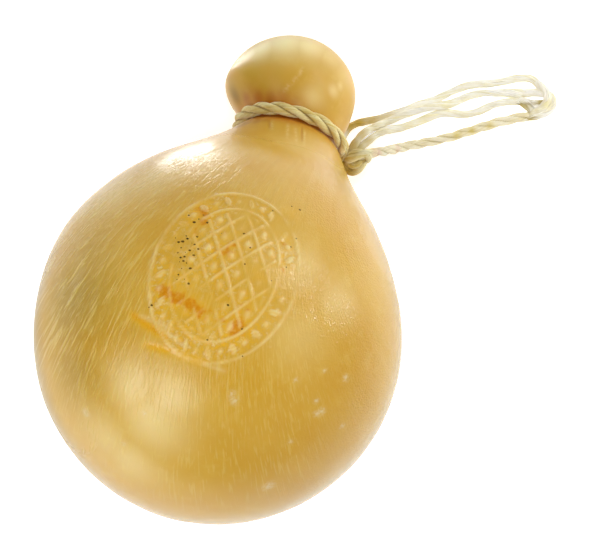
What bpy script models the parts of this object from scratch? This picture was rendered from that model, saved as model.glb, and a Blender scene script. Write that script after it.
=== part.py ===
"""A caciocavallo lying on its side: a gourd-shaped stretched-curd cheese with the
cord tied round its neck and the hanging loop laid out beside it.

Metres, +Z up. The origin is the middle of the flat spot that the belly rests on,
+Y runs along the floor from the belly towards the head.
"""
import math

import bmesh
import bpy
from mathutils import Matrix, Vector
from mathutils.geometry import interpolate_bezier

# Cheese: stations run along its own axis from the middle of the belly to the head
BELLY_RADIUS = 0.0725
BASE_DEPTH = 0.0749
SHOULDER_ANGLE = math.radians(64.0)
SHOULDER_BELLY_HANDLE = 0.0300
SHOULDER_NECK_HANDLE = 0.0257
NECK_STATION = 0.0878
NECK_RADIUS = 0.0227
NECK_SLOPE = math.radians(33.0)
HEAD_STATION = 0.1109
HEAD_RADIUS = 0.0274
HEAD_TOP_DEPTH = 0.0250
HEAD_UNDER_DEPTH = 0.0187
HEAD_JOIN_ANGLE = math.radians(-26.0)

# Sideways lean of the axis: the cord pulls the neck to +X
NECK_LEAN = 0.0045
NECK_LEAN_SPREAD = 0.0240
SHOULDER_LEAN = -0.0017
SHOULDER_LEAN_STATION = 0.0300
SHOULDER_LEAN_SPREAD = 0.0340
HEAD_LEAN = -0.0009
HEAD_TOP_LEAN = 0.0017

# How it lies: the belly and the head both touch the floor
AXIS_SLOPE = math.radians(23.0)
BELLY_HEIGHT = 0.0700
FLOOR_BLOCK = (0.30, 0.40, 0.04)
FLOOR_BLOCK_MIDDLE_Y = 0.05

# Neck cord: a three-strand cord laid once round the neck
CORD_RADIUS = 0.0028
CORD_LOBE = 0.0003
CORD_LAY_LENGTH = 0.0270
STRAND_COUNT = 3
CORD_STATION = 0.0928
CORD_RING_RADIUS = 0.0220
GROOVE_GAP = 0.0006
END_GAP = 0.0005
GROOVE_START = math.radians(189.0)
GROOVE_END = math.radians(332.0)
KNOT_FROM = math.radians(80.0)
KNOT_TO = math.radians(128.0)

# Hanging loop: one laid cord and the three loose plies that it opens into
ROPE_RADIUS = 0.00215
PLY_A_RADIUS = 0.0016
PLY_RADIUS = 0.0015
POINT_SPACING = 0.0040

ROPE_ROUTE = [
    (0.0366, 0.0878, 0.0291), (0.0407, 0.0901, 0.0247), (0.0447, 0.0927, 0.0180),
    (0.0490, 0.0957, 0.0106), (0.0537, 0.0987, 0.0052), (0.0588, 0.1015, 0.0028),
    (0.0650, 0.1048, 0.0022), (0.0715, 0.1086, 0.0022), (0.0775, 0.1126, 0.0022),
    (0.0835, 0.1165, 0.0022), (0.0892, 0.1199, 0.0022), (0.0939, 0.1223, 0.0022),
    (0.0994, 0.1252, 0.0022),
]
PLY_A_ROUTE = [
    (0.0306, 0.0842, 0.0226), (0.0284, 0.0853, 0.0196), (0.0264, 0.0884, 0.0160),
    (0.0250, 0.0919, 0.0122), (0.0250, 0.0953, 0.0086), (0.0263, 0.0987, 0.0056),
    (0.0287, 0.1014, 0.0037), (0.0318, 0.1033, 0.0026), (0.0350, 0.1051, 0.0020),
    (0.0383, 0.1069, 0.0018), (0.0425, 0.1095, 0.00165),
    (0.0465, 0.1122, 0.00165), (0.0514, 0.1159, 0.00165), (0.0580, 0.1205, 0.00165),
    (0.0638, 0.1255, 0.00165), (0.0692, 0.1297, 0.00165), (0.0739, 0.1322, 0.00165),
    (0.0789, 0.1337, 0.00165), (0.0844, 0.1362, 0.00165), (0.0897, 0.1390, 0.00165),
    (0.0947, 0.1404, 0.00165), (0.0985, 0.1396, 0.00175), (0.1007, 0.1377, 0.0020),
]
PLY_B_ROUTE = [
    (0.0315, 0.0928, 0.0305), (0.0336, 0.0970, 0.0254), (0.0362, 0.1002, 0.0186),
    (0.0390, 0.1032, 0.0124), (0.0424, 0.1063, 0.0086), (0.0464, 0.1097, 0.0064),
    (0.0511, 0.1130, 0.0054), (0.0556, 0.1158, 0.0051), (0.0599, 0.1179, 0.0046),
    (0.0641, 0.1199, 0.0032), (0.0681, 0.1230, 0.0019), (0.0723, 0.1264, 0.00155),
    (0.0774, 0.1291, 0.00155), (0.0831, 0.1308, 0.00155), (0.0885, 0.1322, 0.00155),
    (0.0932, 0.1334, 0.00155), (0.0969, 0.1341, 0.0016),
]
PLY_C_ROUTE = [
    (0.0342, 0.0911, 0.0282), (0.0374, 0.0962, 0.0222), (0.0400, 0.0995, 0.0162),
    (0.0430, 0.1021, 0.0103), (0.0469, 0.1045, 0.0056), (0.0510, 0.1073, 0.0026),
    (0.0547, 0.1102, 0.0017), (0.0583, 0.1131, 0.00155), (0.0629, 0.1160, 0.00155),
    (0.0678, 0.1172, 0.00155), (0.0724, 0.1182, 0.00155), (0.0756, 0.1196, 0.00155),
    (0.0786, 0.1217, 0.00155), (0.0814, 0.1242, 0.00155), (0.0848, 0.1265, 0.00155),
    (0.0887, 0.1283, 0.00155), (0.0928, 0.1297, 0.00155), (0.0969, 0.1306, 0.0016),
]

# Turns of each knot: middle, axis, radius of the turn, radius of the cord
NECK_KNOT_TURNS = [
    ((0.0334, 0.0866, 0.0282), (0.80, 0.52, -0.30), 0.0033, 0.0020),
    ((0.0306, 0.0818, 0.0276), (0.30, -0.20, 0.93), 0.0029, 0.0019),
]
NECK_KNOT_CORE = ((0.0318, 0.0850, 0.0288), 0.0036)
END_KNOT_MIDDLE = (0.1034, 0.1312, 0.0024)
END_KNOT_TURN_RADIUS = 0.0039
END_KNOT_CORD_RADIUS = 0.00235
END_KNOT_STRAP = [
    (0.0994, 0.1340, 0.0034), (0.1012, 0.1330, 0.0049), (0.1036, 0.1312, 0.0055),
    (0.1058, 0.1292, 0.0049), (0.1072, 0.1276, 0.0034),
]

# Facets
CHEESE_SIDES = 76
BELLY_STEPS = 22
SHOULDER_STEPS = 12
GROOVE_STEPS = 7
HEAD_STEPS = 12
CORD_RING_POINTS = 64
CORD_SECTION_POINTS = 12
ROUTE_SAMPLES = 12
ROPE_BEVEL_STEPS = 3
PLY_BEVEL_STEPS = 2
KNOT_BEVEL_STEPS = 3
KNOT_ARC_STEPS = 10
TURN_SEGMENTS = 20
TURN_SIDES = 10
CORE_SEGMENTS = 16
CORE_RINGS = 10
POLE_MERGE = 0.00001
CAP_MERGE = 0.000001

# Finish of each material slot: display colour and roughness
RIND_ROUGHNESS = 0.35
FIBRE_ROUGHNESS = 0.85
FINISHES = {
    "golden_rind": ((207, 165, 84), RIND_ROUGHNESS),
    "neck_cord_fibre": ((226, 214, 170), FIBRE_ROUGHNESS),
    "neck_knot_fibre": ((220, 204, 148), FIBRE_ROUGHNESS),
    "loop_rope_fibre": ((232, 220, 180), FIBRE_ROUGHNESS),
    "loop_ply_fibre": ((240, 232, 200), FIBRE_ROUGHNESS),
    "loop_end_fibre": ((238, 226, 186), FIBRE_ROUGHNESS),
}

COLLECTION_NAME = "caciocavallo"
CUTTER_COLLECTION_NAME = "cutters_and_guides"


def clear_scene():
    for old in list(bpy.data.objects):
        bpy.data.objects.remove(old, do_unlink=True)


def make_collection(name, parent=None):
    collection = bpy.data.collections.new(name)
    (parent or bpy.context.scene.collection).children.link(collection)
    return collection


def linear_colour(red, green, blue):
    """Turn an 8-bit display colour into the linear values that a shader takes."""
    values = []
    for channel in (red, green, blue):
        share = channel / 255.0
        values.append(share / 12.92 if share <= 0.04045 else ((share + 0.055) / 1.055) ** 2.4)
    return (*values, 1.0)


def make_material(name, colour, roughness):
    material = bpy.data.materials.new(name)
    material.use_nodes = True
    shader = material.node_tree.nodes["Principled BSDF"]
    shader.inputs["Base Color"].default_value = colour
    shader.inputs["Roughness"].default_value = roughness
    shader.inputs["Metallic"].default_value = 0.0
    material.diffuse_color = colour
    return material


def hide_guide(guide, collection):
    for owner in list(guide.users_collection):
        owner.objects.unlink(guide)
    collection.objects.link(guide)
    guide.hide_render = True
    guide.display_type = "WIRE"


def bump(value, middle, spread):
    return math.exp(-((value - middle) / spread) ** 2)


def smooth_step(value, low, high):
    share = min(max((value - low) / (high - low), 0.0), 1.0)
    return share * share * (3.0 - 2.0 * share)


def axis_lean(station):
    """Sideways place of the cheese's axis at a station."""
    headward = smooth_step(station, CORD_STATION, HEAD_STATION)
    crown = min(max((station - HEAD_STATION) / HEAD_TOP_DEPTH, 0.0), 1.0)
    lean = NECK_LEAN * bump(station, CORD_STATION, NECK_LEAN_SPREAD) * (1.0 - headward)
    lean += SHOULDER_LEAN * bump(station, SHOULDER_LEAN_STATION, SHOULDER_LEAN_SPREAD)
    return lean + HEAD_LEAN * headward + HEAD_TOP_LEAN * crown


def bezier_points(start, start_handle, end_handle, end, count):
    knots = [Vector((*point, 0.0)) for point in (start, start_handle, end_handle, end)]
    return [(point.x, point.y) for point in interpolate_bezier(*knots, count)]


def belly_points():
    """Station and radius from the base's pole to where the shoulder begins."""
    points = []
    last = math.pi - SHOULDER_ANGLE
    for step in range(BELLY_STEPS + 1):
        angle = last * step / BELLY_STEPS
        depth = BASE_DEPTH if angle < math.pi / 2 else BELLY_RADIUS
        points.append((-depth * math.cos(angle), BELLY_RADIUS * math.sin(angle)))
    return points


def shoulder_points():
    start = (BELLY_RADIUS * math.cos(SHOULDER_ANGLE), BELLY_RADIUS * math.sin(SHOULDER_ANGLE))
    end = (NECK_STATION, NECK_RADIUS)
    start_handle = (start[0] + SHOULDER_BELLY_HANDLE * math.sin(SHOULDER_ANGLE),
                    start[1] - SHOULDER_BELLY_HANDLE * math.cos(SHOULDER_ANGLE))
    end_handle = (end[0] - SHOULDER_NECK_HANDLE * math.cos(NECK_SLOPE),
                  end[1] + SHOULDER_NECK_HANDLE * math.sin(NECK_SLOPE))
    return bezier_points(start, start_handle, end_handle, end, SHOULDER_STEPS + 1)[1:]


def groove_points():
    """The hollow that the neck cord is pressed into."""
    hollow = CORD_RADIUS + GROOVE_GAP
    points = []
    for step in range(GROOVE_STEPS + 1):
        angle = GROOVE_START + (GROOVE_END - GROOVE_START) * step / GROOVE_STEPS
        points.append((CORD_STATION + hollow * math.cos(angle),
                       CORD_RING_RADIUS + hollow * math.sin(angle)))
    return points


def head_points():
    """The head from its join with the neck to its crown."""
    points = []
    for step in range(HEAD_STEPS + 1):
        angle = HEAD_JOIN_ANGLE + (math.pi / 2 - HEAD_JOIN_ANGLE) * step / HEAD_STEPS
        depth = HEAD_UNDER_DEPTH if angle < 0.0 else HEAD_TOP_DEPTH
        points.append((HEAD_STATION + depth * math.sin(angle), HEAD_RADIUS * math.cos(angle)))
    return points


def cheese_profile():
    belly = belly_points()
    belly[0] = (belly[0][0], 0.0)
    head = head_points()
    head[-1] = (head[-1][0], 0.0)
    return belly + shoulder_points() + groove_points() + head


def make_cheese(collection, axis_frame, floor_block, material):
    """Turn the profile, lean its axis, lay it down and cut its flat spots."""
    profile = cheese_profile()
    profile.reverse()
    mesh = bpy.data.meshes.new("cheese_profile")
    edges = [(index, index + 1) for index in range(len(profile) - 1)]
    mesh.from_pydata([(radius, 0.0, station) for station, radius in profile], edges, [])
    turned = bpy.data.objects.new("cheese_turning", mesh)
    collection.objects.link(turned)
    screw = turned.modifiers.new("turn", "SCREW")
    screw.axis = "Z"
    screw.steps = CHEESE_SIDES
    screw.render_steps = CHEESE_SIDES
    screw.use_merge_vertices = True
    screw.merge_threshold = POLE_MERGE

    cheese_mesh = evaluated_mesh(turned, "cheese")
    for vertex in cheese_mesh.vertices:
        vertex.co.x += axis_lean(vertex.co.z)
    cheese_mesh.materials.append(material)
    cheese_mesh.shade_smooth()
    cheese = bpy.data.objects.new("cheese", cheese_mesh)
    collection.objects.link(cheese)
    cheese.parent = axis_frame

    cut = cheese.modifiers.new("flat_spots", "BOOLEAN")
    cut.operation = "DIFFERENCE"
    cut.solver = "EXACT"
    cut.object = floor_block
    return cheese


def evaluated_mesh(source, name):
    """Copy what an object evaluates to into a plain mesh, and remove the object."""
    bpy.context.view_layer.update()
    graph = bpy.context.evaluated_depsgraph_get()
    mesh = bpy.data.meshes.new_from_object(source.evaluated_get(graph))
    mesh.name = name
    bpy.data.objects.remove(source, do_unlink=True)
    return mesh


def poly_curve(name, points, tilts=None, cyclic=False):
    data = bpy.data.curves.new(name, "CURVE")
    data.dimensions = "3D"
    spline = data.splines.new("POLY")
    spline.points.add(len(points) - 1)
    for index, point in enumerate(points):
        spline.points[index].co = (*point, 1.0)
        spline.points[index].tilt = tilts[index] if tilts else 0.0
    spline.use_cyclic_u = cyclic
    return data


def smooth_route(route):
    """Read evenly spaced points from a Catmull-Rom curve through the route's points."""
    knots = [Vector(point) for point in route]
    knots.insert(0, knots[0] * 2.0 - knots[1])
    knots.append(knots[-1] * 2.0 - knots[-2])
    fine = []
    for index in range(1, len(knots) - 2):
        before, start, end, after = knots[index - 1:index + 3]
        start_handle = start + (end - before) / 6.0
        end_handle = end - (after - start) / 6.0
        fine.extend(interpolate_bezier(start, start_handle, end_handle, end, ROUTE_SAMPLES)[:-1])
    fine.append(knots[-2])

    lengths = [0.0]
    for start, end in zip(fine, fine[1:]):
        lengths.append(lengths[-1] + (end - start).length)
    count = max(4, round(lengths[-1] / POINT_SPACING))
    points = []
    place = 0
    for step in range(count + 1):
        wanted = lengths[-1] * step / count
        while place < len(lengths) - 2 and lengths[place + 1] < wanted:
            place += 1
        share = (wanted - lengths[place]) / (lengths[place + 1] - lengths[place])
        points.append(fine[place].lerp(fine[place + 1], share))
    return points


def make_tube(name, route, radius, bevel_steps, collection, material):
    data = poly_curve(name, smooth_route(route))
    data.bevel_depth = radius
    data.bevel_resolution = bevel_steps
    data.use_fill_caps = True
    data.materials.append(material)
    tube = bpy.data.objects.new(name, data)
    collection.objects.link(tube)
    return tube


def ring_point(angle):
    """A point on the neck cord's middle line; angle 0 is its highest point."""
    middle = axis_lean(CORD_STATION)
    return (middle + CORD_RING_RADIUS * math.sin(angle),
            -CORD_RING_RADIUS * math.cos(angle),
            CORD_STATION)


def make_cord_section(guides):
    """Outline of a laid cord: a circle with a low lobe for each strand."""
    points = []
    for step in range(CORD_SECTION_POINTS):
        angle = -2.0 * math.pi * step / CORD_SECTION_POINTS
        radius = CORD_RADIUS - CORD_LOBE + CORD_LOBE * math.cos(STRAND_COUNT * angle)
        points.append((radius * math.cos(angle), radius * math.sin(angle), 0.0))
    data = poly_curve("cord_section", points, cyclic=True)
    data.dimensions = "2D"
    section = bpy.data.objects.new("cord_section", data)
    bpy.context.scene.collection.objects.link(section)
    hide_guide(section, guides)
    return section


def make_neck_cord(collection, axis_frame, section, material):
    end_gap = END_GAP / CORD_RING_RADIUS
    start = KNOT_FROM - end_gap
    sweep = 2.0 * math.pi - (KNOT_TO - KNOT_FROM) - 2.0 * end_gap
    points = []
    tilts = []
    for step in range(CORD_RING_POINTS + 1):
        turned = sweep * step / CORD_RING_POINTS
        points.append(ring_point(start - turned))
        tilts.append(2.0 * math.pi * turned * CORD_RING_RADIUS / CORD_LAY_LENGTH)
    data = poly_curve("neck_cord", points, tilts)
    data.bevel_mode = "OBJECT"
    data.bevel_object = section
    data.use_fill_caps = True
    data.materials.append(material)
    cord = bpy.data.objects.new("neck_cord", data)
    collection.objects.link(cord)
    cord.parent = axis_frame
    return cord


def tube_mesh(name, points, radius, matrix):
    """A closed tube as a plain mesh in world space, with its caps welded on."""
    data = poly_curve(name, points)
    data.bevel_depth = radius
    data.bevel_resolution = KNOT_BEVEL_STEPS
    data.use_fill_caps = True
    source = bpy.data.objects.new(name, data)
    bpy.context.scene.collection.objects.link(source)
    mesh = evaluated_mesh(source, name)
    shape = bmesh.new()
    shape.from_mesh(mesh)
    bmesh.ops.remove_doubles(shape, verts=shape.verts, dist=CAP_MERGE)
    bmesh.ops.transform(shape, matrix=matrix, verts=shape.verts)
    shape.to_mesh(mesh)
    shape.free()
    return mesh


def add_turn(name, middle, axis, turn_radius, cord_radius, guides):
    bpy.ops.mesh.primitive_torus_add(
        major_radius=turn_radius, minor_radius=cord_radius,
        major_segments=TURN_SEGMENTS, minor_segments=TURN_SIDES, location=middle,
        rotation=Vector(axis).to_track_quat("Z", "Y").to_euler())
    turn = bpy.context.object
    turn.name = name
    hide_guide(turn, guides)
    return turn


def add_core(name, middle, radius, guides):
    bpy.ops.mesh.primitive_uv_sphere_add(
        radius=radius, segments=CORE_SEGMENTS, ring_count=CORE_RINGS, location=middle)
    core = bpy.context.object
    core.name = name
    hide_guide(core, guides)
    return core


def join_turns(knot, turns):
    join = knot.modifiers.new("turns", "BOOLEAN")
    join.operation = "UNION"
    join.solver = "EXACT"
    join.operand_type = "COLLECTION"
    join.collection = turns


def make_neck_knot(collection, guides, frame_matrix, material):
    """The knot: a saddle in line with the neck cord and the turns tied over it."""
    turns = make_collection("neck_knot_turns", guides)
    for index, (middle, axis, turn_radius, cord_radius) in enumerate(NECK_KNOT_TURNS):
        add_turn(f"neck_knot_turn_{index}", middle, axis, turn_radius, cord_radius, turns)
    add_core("neck_knot_core", *NECK_KNOT_CORE, turns)
    knot_sweep = KNOT_TO - KNOT_FROM
    arc = [ring_point(KNOT_FROM + knot_sweep * step / KNOT_ARC_STEPS) for step in range(KNOT_ARC_STEPS + 1)]
    mesh = tube_mesh("neck_knot", arc, CORD_RADIUS - CORD_LOBE, frame_matrix)
    mesh.materials.append(material)
    knot = bpy.data.objects.new("neck_knot", mesh)
    collection.objects.link(knot)
    join_turns(knot, turns)
    return knot


def make_end_knot(collection, guides, material):
    """The far end of the loop: a flat turn with one strap of cord over it."""
    turns = make_collection("end_knot_turns", guides)
    add_turn("end_knot_turn", END_KNOT_MIDDLE, (0.0, 0.0, 1.0),
             END_KNOT_TURN_RADIUS, END_KNOT_CORD_RADIUS, turns)
    mesh = tube_mesh("loop_end_knot", END_KNOT_STRAP, END_KNOT_CORD_RADIUS, Matrix.Identity(4))
    mesh.materials.append(material)
    knot = bpy.data.objects.new("loop_end_knot", mesh)
    collection.objects.link(knot)
    join_turns(knot, turns)
    return knot


def make_axis_frame(collection):
    """The cheese's own axis: its +Z points along the axis towards the head."""
    frame = bpy.data.objects.new("cheese_axis", None)
    collection.objects.link(frame)
    frame.location = (0.0, 0.0, BELLY_HEIGHT)
    frame.rotation_euler = (-(math.pi / 2 + AXIS_SLOPE), 0.0, 0.0)
    bpy.context.view_layer.update()
    return frame


def make_floor_block(guides):
    bpy.ops.mesh.primitive_cube_add(
        size=1.0, location=(0.0, FLOOR_BLOCK_MIDDLE_Y, -FLOOR_BLOCK[2] / 2))
    block = bpy.context.object
    block.name = "floor_block"
    block.scale = FLOOR_BLOCK
    bpy.ops.object.transform_apply(location=False, rotation=False, scale=True)
    hide_guide(block, guides)
    return block


def main():
    clear_scene()
    parts = make_collection(COLLECTION_NAME)
    guides = make_collection(CUTTER_COLLECTION_NAME)
    finish = {name: make_material(name, linear_colour(*colour), roughness)
              for name, (colour, roughness) in FINISHES.items()}
    ply_fibre = finish["loop_ply_fibre"]

    axis_frame = make_axis_frame(parts)
    make_cheese(parts, axis_frame, make_floor_block(guides), finish["golden_rind"])
    make_neck_cord(parts, axis_frame, make_cord_section(guides), finish["neck_cord_fibre"])
    make_neck_knot(parts, guides, axis_frame.matrix_world.copy(), finish["neck_knot_fibre"])
    make_tube("loop_rope", ROPE_ROUTE, ROPE_RADIUS, ROPE_BEVEL_STEPS, parts, finish["loop_rope_fibre"])
    make_tube("loop_ply_a", PLY_A_ROUTE, PLY_A_RADIUS, PLY_BEVEL_STEPS, parts, ply_fibre)
    make_tube("loop_ply_b", PLY_B_ROUTE, PLY_RADIUS, PLY_BEVEL_STEPS, parts, ply_fibre)
    make_tube("loop_ply_c", PLY_C_ROUTE, PLY_RADIUS, PLY_BEVEL_STEPS, parts, ply_fibre)
    make_end_knot(parts, guides, finish["loop_end_fibre"])


main()
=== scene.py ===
from math import atan, cos, pi, radians, sin, tau

import bpy
import numpy as np
from mathutils import Matrix, Vector, kdtree, noise
from mathutils.geometry import interpolate_bezier


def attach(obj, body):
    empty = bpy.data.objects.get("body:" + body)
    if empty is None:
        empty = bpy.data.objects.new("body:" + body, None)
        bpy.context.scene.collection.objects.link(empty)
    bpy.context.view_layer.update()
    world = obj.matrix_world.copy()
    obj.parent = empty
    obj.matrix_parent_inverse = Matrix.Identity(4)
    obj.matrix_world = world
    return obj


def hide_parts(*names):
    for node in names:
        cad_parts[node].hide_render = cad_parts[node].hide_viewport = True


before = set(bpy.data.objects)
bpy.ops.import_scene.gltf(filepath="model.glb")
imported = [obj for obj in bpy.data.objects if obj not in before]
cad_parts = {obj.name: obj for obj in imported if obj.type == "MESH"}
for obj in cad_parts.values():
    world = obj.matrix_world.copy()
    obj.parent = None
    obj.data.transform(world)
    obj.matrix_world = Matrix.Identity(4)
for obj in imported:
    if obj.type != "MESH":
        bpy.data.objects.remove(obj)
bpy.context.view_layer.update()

scene = bpy.context.scene
scene.view_settings.view_transform = "Standard"
print("cheese: frame loaded with", len(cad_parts), "solids")


def addObject(name, data):
    added = bpy.data.objects.new(name, data)
    scene.collection.objects.link(added)
    return added


# camera, almost straight above the cheese

cameraFacts = {
    "azimuth": 15.704,               # degrees, 0 looks along +Y
    "elevation": 88,
    "distance": 0.9,
    "target": (0.02315, 0.03303, 0),
    "lens": 126.506,
    "sensor": 36,
    "imageSize": (600, 550),
}


def placeCamera():
    turn = radians(cameraFacts["azimuth"])
    tilt = radians(cameraFacts["elevation"])
    forward = Vector((-sin(turn) * cos(tilt), cos(turn) * cos(tilt), -sin(tilt)))
    data = bpy.data.cameras.new("photoCamera")
    data.lens = cameraFacts["lens"]
    data.sensor_width = cameraFacts["sensor"]
    data.clip_start = 0.01
    camera = addObject("photoCamera", data)
    camera.location = Vector(cameraFacts["target"]) - forward * cameraFacts["distance"]
    camera.rotation_euler = forward.to_track_quat("-Z", "Y").to_euler()
    scene.camera = camera
    right = forward.cross(Vector((0, 0, 1))).normalized()
    return {"place": np.array(camera.location), "forward": np.array(forward),
            "right": np.array(right), "up": np.array(right.cross(forward))}


eye = placeCamera()


def seenAt(points):
    # where points land in the image, in pixels
    width, height = cameraFacts["imageSize"]
    focal = cameraFacts["lens"] / cameraFacts["sensor"] * width
    away = points - eye["place"]
    depth = away @ eye["forward"]
    across = width / 2 + focal * (away @ eye["right"]) / depth
    down = height / 2 - focal * (away @ eye["up"]) / depth
    return np.stack((across, down), axis=1)


# node trees are written as sums of wires: a wire is one output of a node

class Wire:
    def __init__(self, tree, socket):
        self.tree = tree
        self.socket = socket

    def __getitem__(self, output):
        return Wire(self.tree, self.socket.node.outputs[output])

    def calc(self, operation, other=0):
        kind = "ShaderNodeVectorMath" if self.socket.type in ("VECTOR", "RGBA") else "ShaderNodeMath"
        return put(self.tree, kind, {0: self, 1: other}, operation=operation)

    def __add__(self, other):
        return self.calc("ADD", other)

    def __sub__(self, other):
        return self.calc("SUBTRACT", other)

    def __truediv__(self, other):
        return self.calc("DIVIDE", other)

    def __mul__(self, other):
        if self.socket.type in ("VECTOR", "RGBA"):
            return scaled(self.tree, self, other)
        return self.calc("MULTIPLY", other)


def feed(tree, node, feeds):
    for key, value in feeds.items():
        if isinstance(value, Wire):
            tree.links.new(value.socket, node.inputs[key])
        else:
            node.inputs[key].default_value = value


def put(tree, kind, feeds=None, output=0, **settings):
    node = tree.nodes.new(kind)
    for key, value in settings.items():
        setattr(node, key, value)
    feed(tree, node, feeds or {})
    return Wire(tree, node.outputs[output]) if node.outputs else None


def scaled(tree, vector, share):
    return put(tree, "ShaderNodeVectorMath", {0: vector, 3: share}, operation="SCALE")


def ramp(value, low, high, toLow=0, toHigh=1):
    return put(value.tree, "ShaderNodeMapRange", {0: value, 1: low, 2: high, 3: toLow, 4: toHigh},
               interpolation_type="SMOOTHSTEP")


def cloudy(place, scale, detail=2, roughness=0.5, distortion=0):
    return put(place.tree, "ShaderNodeTexNoise", {"Vector": place, "Scale": scale, "Detail": detail,
                                                  "Roughness": roughness, "Distortion": distortion})


def startTree(name):
    tree = bpy.data.node_groups.new(name, "GeometryNodeTree")
    for way in ("INPUT", "OUTPUT"):
        tree.interface.new_socket("Geometry", in_out=way, socket_type="NodeSocketGeometry")
    return put(tree, "NodeGroupInput")


def closeTree(geometry, material):
    tree = geometry.tree
    smooth = put(tree, "GeometryNodeSetShadeSmooth", {"Geometry": geometry, "Shade Smooth": True})
    real = put(tree, "GeometryNodeRealizeInstances", {"Geometry": smooth})
    painted = put(tree, "GeometryNodeSetMaterial", {"Geometry": real, "Material": material})
    put(tree, "NodeGroupOutput", {"Geometry": painted})
    return tree


def growMesh(source, tree, name):
    # run a node tree on an object and keep the result as a plain mesh object
    source.modifiers.new("grow", "NODES").node_group = tree
    bpy.context.view_layer.update()
    mesh = bpy.data.meshes.new_from_object(source.evaluated_get(bpy.context.evaluated_depsgraph_get()))
    mesh.name = name
    bpy.data.objects.remove(source, do_unlink=True)
    return addObject(name, mesh)


def curveObject(name, routes):
    data = bpy.data.curves.new(name, "CURVE")
    data.dimensions = "3D"
    for route in routes:
        spline = data.splines.new("POLY")
        spline.points.add(len(route) - 1)
        for point, place in zip(spline.points, route):
            point.co = (*place, 1)
    return addObject(name, data)


def evenly(line, spacing=None, count=None):
    # points at even steps along a line, with its length
    reach = np.concatenate(([0], np.cumsum(np.linalg.norm(np.diff(line, axis=0), axis=1))))
    steps = count or max(4, round(reach[-1] / spacing)) + 1
    even = np.linspace(0, reach[-1], steps)
    return np.stack([np.interp(even, reach, column) for column in line.T], axis=1), reach[-1]


def smoothRoute(route, spacing=0.001):
    # evenly spaced points on a Catmull-Rom curve through the route's points
    knots = [Vector(place) for place in route]
    knots = [knots[0] * 2 - knots[1], *knots, knots[-1] * 2 - knots[-2]]
    fine = []
    for before, start, end, after in zip(knots, knots[1:], knots[2:], knots[3:]):
        startHandle = start + (end - before) / 6
        endHandle = end - (after - start) / 6
        fine.extend(interpolate_bezier(start, startHandle, endHandle, end, 12)[:-1])
    return evenly(np.array(fine + [knots[-2]]), spacing)


def inMetres(routes):     # from millimetres
    return {key: [[value / 1000 for value in place] for place in route] for key, route in routes.items()}


# how the cheese lies, as the solid has it

lieFacts = {"axisSlope": 23, "bellyHeight": 0.07}
axisFrame = Matrix.Translation((0, 0, lieFacts["bellyHeight"])) @ Matrix.Rotation(
    -radians(90 + lieFacts["axisSlope"]), 4, "X")

cheeseForm = {
    "bellyRadius": 0.0725,
    "baseDepth": 0.0749,
    "shoulderAngle": 64,
    "shoulderBellyHandle": 0.03,
    "shoulderNeckHandle": 0.0257,
    "neckStation": 0.0878,
    "neckRadius": 0.0227,
    "neckSlope": 33,
    "headStation": 0.1109,
    "headRadius": 0.0274,
    "headTopDepth": 0.025,
    "headUnderDepth": 0.0187,
    "headJoinAngle": -26,
    "grooveStart": 189,
    "grooveEnd": 332,
    "grooveGap": 0.0006,
    "neckLean": 0.0045,
    "neckLeanSpread": 0.024,
    "shoulderLean": -0.0017,
    "shoulderLeanStation": 0.03,
    "shoulderLeanSpread": 0.034,
    "headLean": -0.0009,
    "headTopLean": 0.0017,
}
neckCordForm = {"radius": 0.0028, "station": 0.0928, "ringRadius": 0.022}


def smoothStep(value, low, high):
    share = np.clip((value - low) / (high - low), 0, 1)
    return share * share * (3 - 2 * share)


def bell(away, width):
    return np.exp(-(away / width) ** 2)


def axisLean(station):
    form = cheeseForm
    cordStation = neckCordForm["station"]
    headward = smoothStep(station, cordStation, form["headStation"])
    crown = np.clip((station - form["headStation"]) / form["headTopDepth"], 0, 1)
    neck = bell(station - cordStation, form["neckLeanSpread"])
    shoulder = bell(station - form["shoulderLeanStation"], form["shoulderLeanSpread"])
    lean = form["neckLean"] * neck * (1 - headward) + form["shoulderLean"] * shoulder
    return lean + form["headLean"] * headward + form["headTopLean"] * crown


def ringPoint(degrees):
    # on the neck cord's middle line, 0 degrees is its highest point
    angle = radians(degrees)
    radius, station = neckCordForm["ringRadius"], neckCordForm["station"]
    return axisFrame @ Vector((axisLean(station) + radius * sin(angle), -radius * cos(angle), station))


# cords: strands wound round a route, each a bundle of yarns

def wind(lines, count, offset, lay):
    # each line becomes several that wind round it, and a number says which is which
    tree = lines.tree
    many = put(tree, "GeometryNodeDuplicateElements", {"Geometry": lines, "Amount": count}, domain="SPLINE")
    number = many["Duplicate Index"]
    angle = (put(tree, "GeometryNodeSplineParameter")["Length"] / lay + number / count) * tau
    normal = put(tree, "GeometryNodeInputNormal")
    binormal = put(tree, "GeometryNodeInputTangent").calc("CROSS_PRODUCT", normal)
    out = normal * angle.calc("COSINE") + binormal * angle.calc("SINE")
    return put(tree, "GeometryNodeSetPosition", {"Geometry": many, "Offset": out * offset}), number


def storeMark(geometry, name, value):
    return put(geometry.tree, "GeometryNodeStoreNamedAttribute",
               {"Geometry": geometry, "Name": name, "Value": value}, data_type="FLOAT", domain="POINT")


def storedMark(tree, name):
    return put(tree, "GeometryNodeInputNamedAttribute", {"Name": name}, data_type="FLOAT")


def draw(tree, low, high, seed, number=None):
    # a random number for each thing that the number names
    feeds = {2: low, 3: high, "Seed": seed}
    if number:
        feeds["ID"] = number
    return put(tree, "FunctionNodeRandomValue", feeds, 1, data_type="FLOAT")


def tubes(lines, sides, radius, scale):
    ring = put(lines.tree, "GeometryNodeCurvePrimitiveCircle", {"Resolution": sides, "Radius": radius})
    return put(lines.tree, "GeometryNodeCurveToMesh", {"Curve": lines, "Profile Curve": ring, "Scale": scale,
                                                       "Fill Caps": True})


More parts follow.
